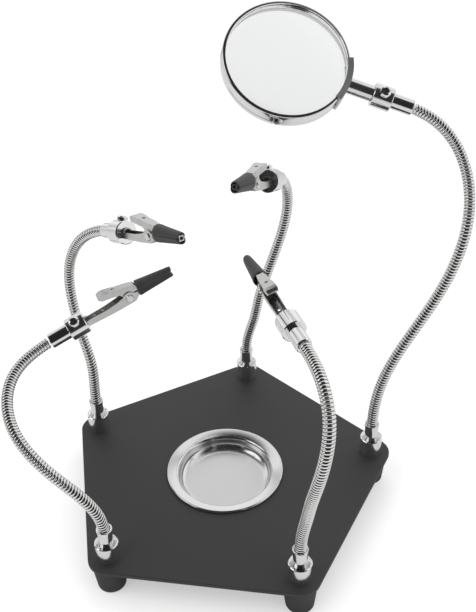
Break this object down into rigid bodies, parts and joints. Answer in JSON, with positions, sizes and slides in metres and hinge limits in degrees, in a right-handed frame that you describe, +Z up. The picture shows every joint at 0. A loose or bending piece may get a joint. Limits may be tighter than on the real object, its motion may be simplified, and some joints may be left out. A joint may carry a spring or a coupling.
{
  "type": "helping hands clamp",
  "caption": "Benchtop holding tool: a pentagon base with flexible arms that carry alligator clips and a round magnifier, and a lift-out parts dish.",
  "frame": {"origin": "centre of the base on the resting plane, at the bottom of the rubber feet", "axes": "+Z up, +Y towards the rear arm, +X towards the right-hand side with the magnifier arm"},
  "size_m": [0.2266, 0.1838, 0.2495],
  "materials": {
    "powder_coat": "fine matte black powder coat",
    "foot_rubber": "matte black rubber",
    "screw_steel": "bright plated steel",
    "chrome": "polished chrome",
    "gooseneck_steel": "fine ribbed polished steel",
    "clip_steel": "plated sheet steel",
    "rivet_steel": "plated steel",
    "spring_steel": "spring steel",
    "boot_rubber": "satin black soft rubber",
    "dish_steel": "polished stainless with a satin floor",
    "lens_glass": "clear polished glass"
  },
  "bodies": {
    "base": {"base_plate": "powder_coat", "rubber_feet": "foot_rubber", "foot_screws": "screw_steel", "arm_sockets": "chrome"},
    "dish": {"parts_dish": "dish_steel"},
    "front_left_arm_lower": {"front_left_ferrule": "chrome", "front_left_neck_lower": "gooseneck_steel"},
    "front_left_arm_upper": {"front_left_neck_upper": "gooseneck_steel"},
    "front_left_arm_holder": {"front_left_holder": "chrome", "front_left_set_screw": "screw_steel"},
    "front_left_clip": {"front_left_fixed_jaw": "clip_steel", "front_left_rivet": "rivet_steel", "front_left_spring": "spring_steel", "front_left_lower_boot": "boot_rubber"},
    "front_left_lever": {"front_left_lever_jaw": "clip_steel", "front_left_upper_boot": "boot_rubber"},
    "rear_left_arm_lower": {"rear_left_ferrule": "chrome", "rear_left_neck_lower": "gooseneck_steel"},
    "rear_left_arm_upper": {"rear_left_neck_upper": "gooseneck_steel"},
    "rear_left_arm_holder": {"rear_left_holder": "chrome", "rear_left_set_screw": "screw_steel"},
    "rear_left_clip": {"rear_left_fixed_jaw": "clip_steel", "rear_left_rivet": "rivet_steel", "rear_left_spring": "spring_steel", "rear_left_lower_boot": "boot_rubber"},
    "rear_left_lever": {"rear_left_lever_jaw": "clip_steel", "rear_left_upper_boot": "boot_rubber"},
    "rear_arm_lower": {"rear_ferrule": "chrome", "rear_neck_lower": "gooseneck_steel"},
    "rear_arm_upper": {"rear_neck_upper": "gooseneck_steel"},
    "rear_arm_holder": {"rear_holder": "chrome", "rear_set_screw": "screw_steel"},
    "rear_clip": {"rear_fixed_jaw": "clip_steel", "rear_rivet": "rivet_steel", "rear_spring": "spring_steel", "rear_lower_boot": "boot_rubber"},
    "rear_lever": {"rear_lever_jaw": "clip_steel", "rear_upper_boot": "boot_rubber"},
    "front_right_arm_lower": {"front_right_ferrule": "chrome", "front_right_neck_lower": "gooseneck_steel"},
    "front_right_arm_upper": {"front_right_neck_upper": "gooseneck_steel"},
    "front_right_arm_holder": {"front_right_holder": "chrome", "front_right_set_screw": "screw_steel"},
    "front_right_clip": {"front_right_fixed_jaw": "clip_steel", "front_right_rivet": "rivet_steel", "front_right_spring": "spring_steel", "front_right_lower_boot": "boot_rubber"},
    "front_right_lever": {"front_right_lever_jaw": "clip_steel", "front_right_upper_boot": "boot_rubber"},
    "magnifier_arm_lower": {"magnifier_ferrule": "chrome", "magnifier_neck_lower": "gooseneck_steel"},
    "magnifier_arm_upper": {"magnifier_neck_upper": "gooseneck_steel"},
    "magnifier_arm_holder": {"magnifier_holder": "chrome", "magnifier_set_screw": "screw_steel"},
    "magnifier_head": {"magnifier_handle": "chrome", "magnifier_saddle": "chrome", "magnifier_rim": "chrome", "magnifier_lens": "lens_glass"}
  },
  "joints": [
    {"name": "dish_lift", "type": "slide", "parent": "base", "child": "dish", "axis": [0, 0, 1], "range_m": [0, 0.03]},
    {"name": "front_left_swivel", "type": "hinge", "parent": "base", "child": "front_left_arm_lower", "pos_m": [-0.04853, -0.0668, 0.026], "axis": [0, 0, 1], "range_deg": [-30, 30]},
    {"name": "front_left_bend", "type": "hinge", "parent": "front_left_arm_lower", "child": "front_left_arm_upper", "pos_m": [-0.08856, -0.05625, 0.08478], "axis": [-0.4788, 0.0763, -0.8746], "range_deg": [-10, 25]},
    {"name": "front_left_wrist", "type": "hinge", "parent": "front_left_arm_upper", "child": "front_left_arm_holder", "pos_m": [-0.08807, -0.00281, 0.10358], "axis": [0.3853, 0.0208, -0.9226], "range_deg": [-30, 30]},
    {"name": "front_left_roll", "type": "hinge", "parent": "front_left_arm_holder", "child": "front_left_clip", "pos_m": [-0.0744, 0.00539, 0.10947], "axis": [0.8043, 0.4825, 0.3468], "continuous": true},
    {"name": "front_left_jaw", "type": "hinge", "parent": "front_left_clip", "child": "front_left_lever", "pos_m": [-0.05011, 0.01996, 0.11994], "axis": [0.4842, -0.8705, 0.0881], "range_deg": [0, 22]},
    {"name": "rear_left_swivel", "type": "hinge", "parent": "base", "child": "rear_left_arm_lower", "pos_m": [-0.07853, 0.02551, 0.026], "axis": [0, 0, 1], "range_deg": [-30, 30]},
    {"name": "rear_left_bend", "type": "hinge", "parent": "rear_left_arm_lower", "child": "rear_left_arm_upper", "pos_m": [-0.09055, 0.0433, 0.09991], "axis": [0.6618, 0.7364, -0.1407], "range_deg": [-25, 25]},
    {"name": "rear_left_wrist", "type": "hinge", "parent": "rear_left_arm_upper", "child": "rear_left_arm_holder", "pos_m": [-0.06297, 0.03406, 0.15007], "axis": [0.6478, 0.3407, -0.6814], "range_deg": [-30, 30]},
    {"name": "rear_left_roll", "type": "hinge", "parent": "rear_left_arm_holder", "child": "rear_left_clip", "pos_m": [-0.05105, 0.0236, 0.15618], "axis": [0.7015, -0.6155, 0.3592], "continuous": true},
    {"name": "rear_left_jaw", "type": "hinge", "parent": "rear_left_clip", "child": "rear_left_lever", "pos_m": [-0.02986, 0.00501, 0.16703], "axis": [-0.6838, -0.7234, 0.0959], "range_deg": [0, 22]},
    {"name": "rear_swivel", "type": "hinge", "parent": "base", "child": "rear_arm_lower", "pos_m": [0, 0.08257, 0.026], "axis": [0, 0, 1], "range_deg": [-30, 30]},
    {"name": "rear_bend", "type": "hinge", "parent": "rear_arm_lower", "child": "rear_arm_upper", "pos_m": [0.01562, 0.08534, 0.10323], "axis": [0.7626, -0.6199, -0.1847], "range_deg": [-25, 25]},
    {"name": "rear_wrist", "type": "hinge", "parent": "rear_arm_upper", "child": "rear_arm_holder", "pos_m": [0.02204, 0.07569, 0.16208], "axis": [0.9832, -0.1756, 0.0504], "range_deg": [-12, 30]},
    {"name": "rear_roll", "type": "hinge", "parent": "rear_arm_holder", "child": "rear_clip", "pos_m": [0.01897, 0.06048, 0.16902], "axis": [-0.1807, -0.8949, 0.4081], "continuous": true},
    {"name": "rear_jaw", "type": "hinge", "parent": "rear_clip", "child": "rear_lever", "pos_m": [0.01351, 0.03345, 0.18134], "axis": [-0.9835, 0.1684, -0.0663], "range_deg": [0, 22]},
    {"name": "front_right_swivel", "type": "hinge", "parent": "base", "child": "front_right_arm_lower", "pos_m": [0.04853, -0.0668, 0.026], "axis": [0, 0, 1], "range_deg": [-30, 30]},
    {"name": "front_right_bend", "type": "hinge", "parent": "front_right_arm_lower", "child": "front_right_arm_upper", "pos_m": [0.05834, -0.07769, 0.10334], "axis": [-0.9351, -0.2911, 0.2021], "range_deg": [-25, 25]},
    {"name": "front_right_wrist", "type": "hinge", "parent": "front_right_arm_upper", "child": "front_right_arm_holder", "pos_m": [0.0468, -0.03686, 0.13931], "axis": [-0.3296, -0.2305, 0.9155], "range_deg": [-30, 30]},
    {"name": "front_right_roll", "type": "hinge", "parent": "front_right_arm_holder", "child": "front_right_clip", "pos_m": [0.0385, -0.02204, 0.14005], "axis": [-0.4882, 0.8716, 0.0436], "continuous": true},
    {"name": "front_right_jaw", "type": "hinge", "parent": "front_right_clip", "child": "front_right_lever", "pos_m": [0.02376, 0.00428, 0.14137], "axis": [0.8497, 0.4633, 0.2517], "range_deg": [0, 22]},
    {"name": "magnifier_swivel", "type": "hinge", "parent": "base", "child": "magnifier_arm_lower", "pos_m": [0.07853, 0.02551, 0.026], "axis": [0, 0, 1], "range_deg": [-30, 30]},
    {"name": "magnifier_bend", "type": "hinge", "parent": "magnifier_arm_lower", "child": "magnifier_arm_upper", "pos_m": [0.11156, 0.04153, 0.12932], "axis": [-0.6024, -0.7122, 0.3603], "range_deg": [-25, 10]},
    {"name": "magnifier_wrist", "type": "hinge", "parent": "magnifier_arm_upper", "child": "magnifier_arm_holder", "pos_m": [0.08847, 0.07515, 0.20466], "axis": [0.0705, -0.9761, 0.2056], "range_deg": [-30, 10]},
    {"name": "magnifier_roll", "type": "hinge", "parent": "magnifier_arm_holder", "child": "magnifier_head", "pos_m": [0.07237, 0.07513, 0.21009], "axis": [-0.9475, -0.0011, 0.3197], "range_deg": [-60, 60]}
  ]
}
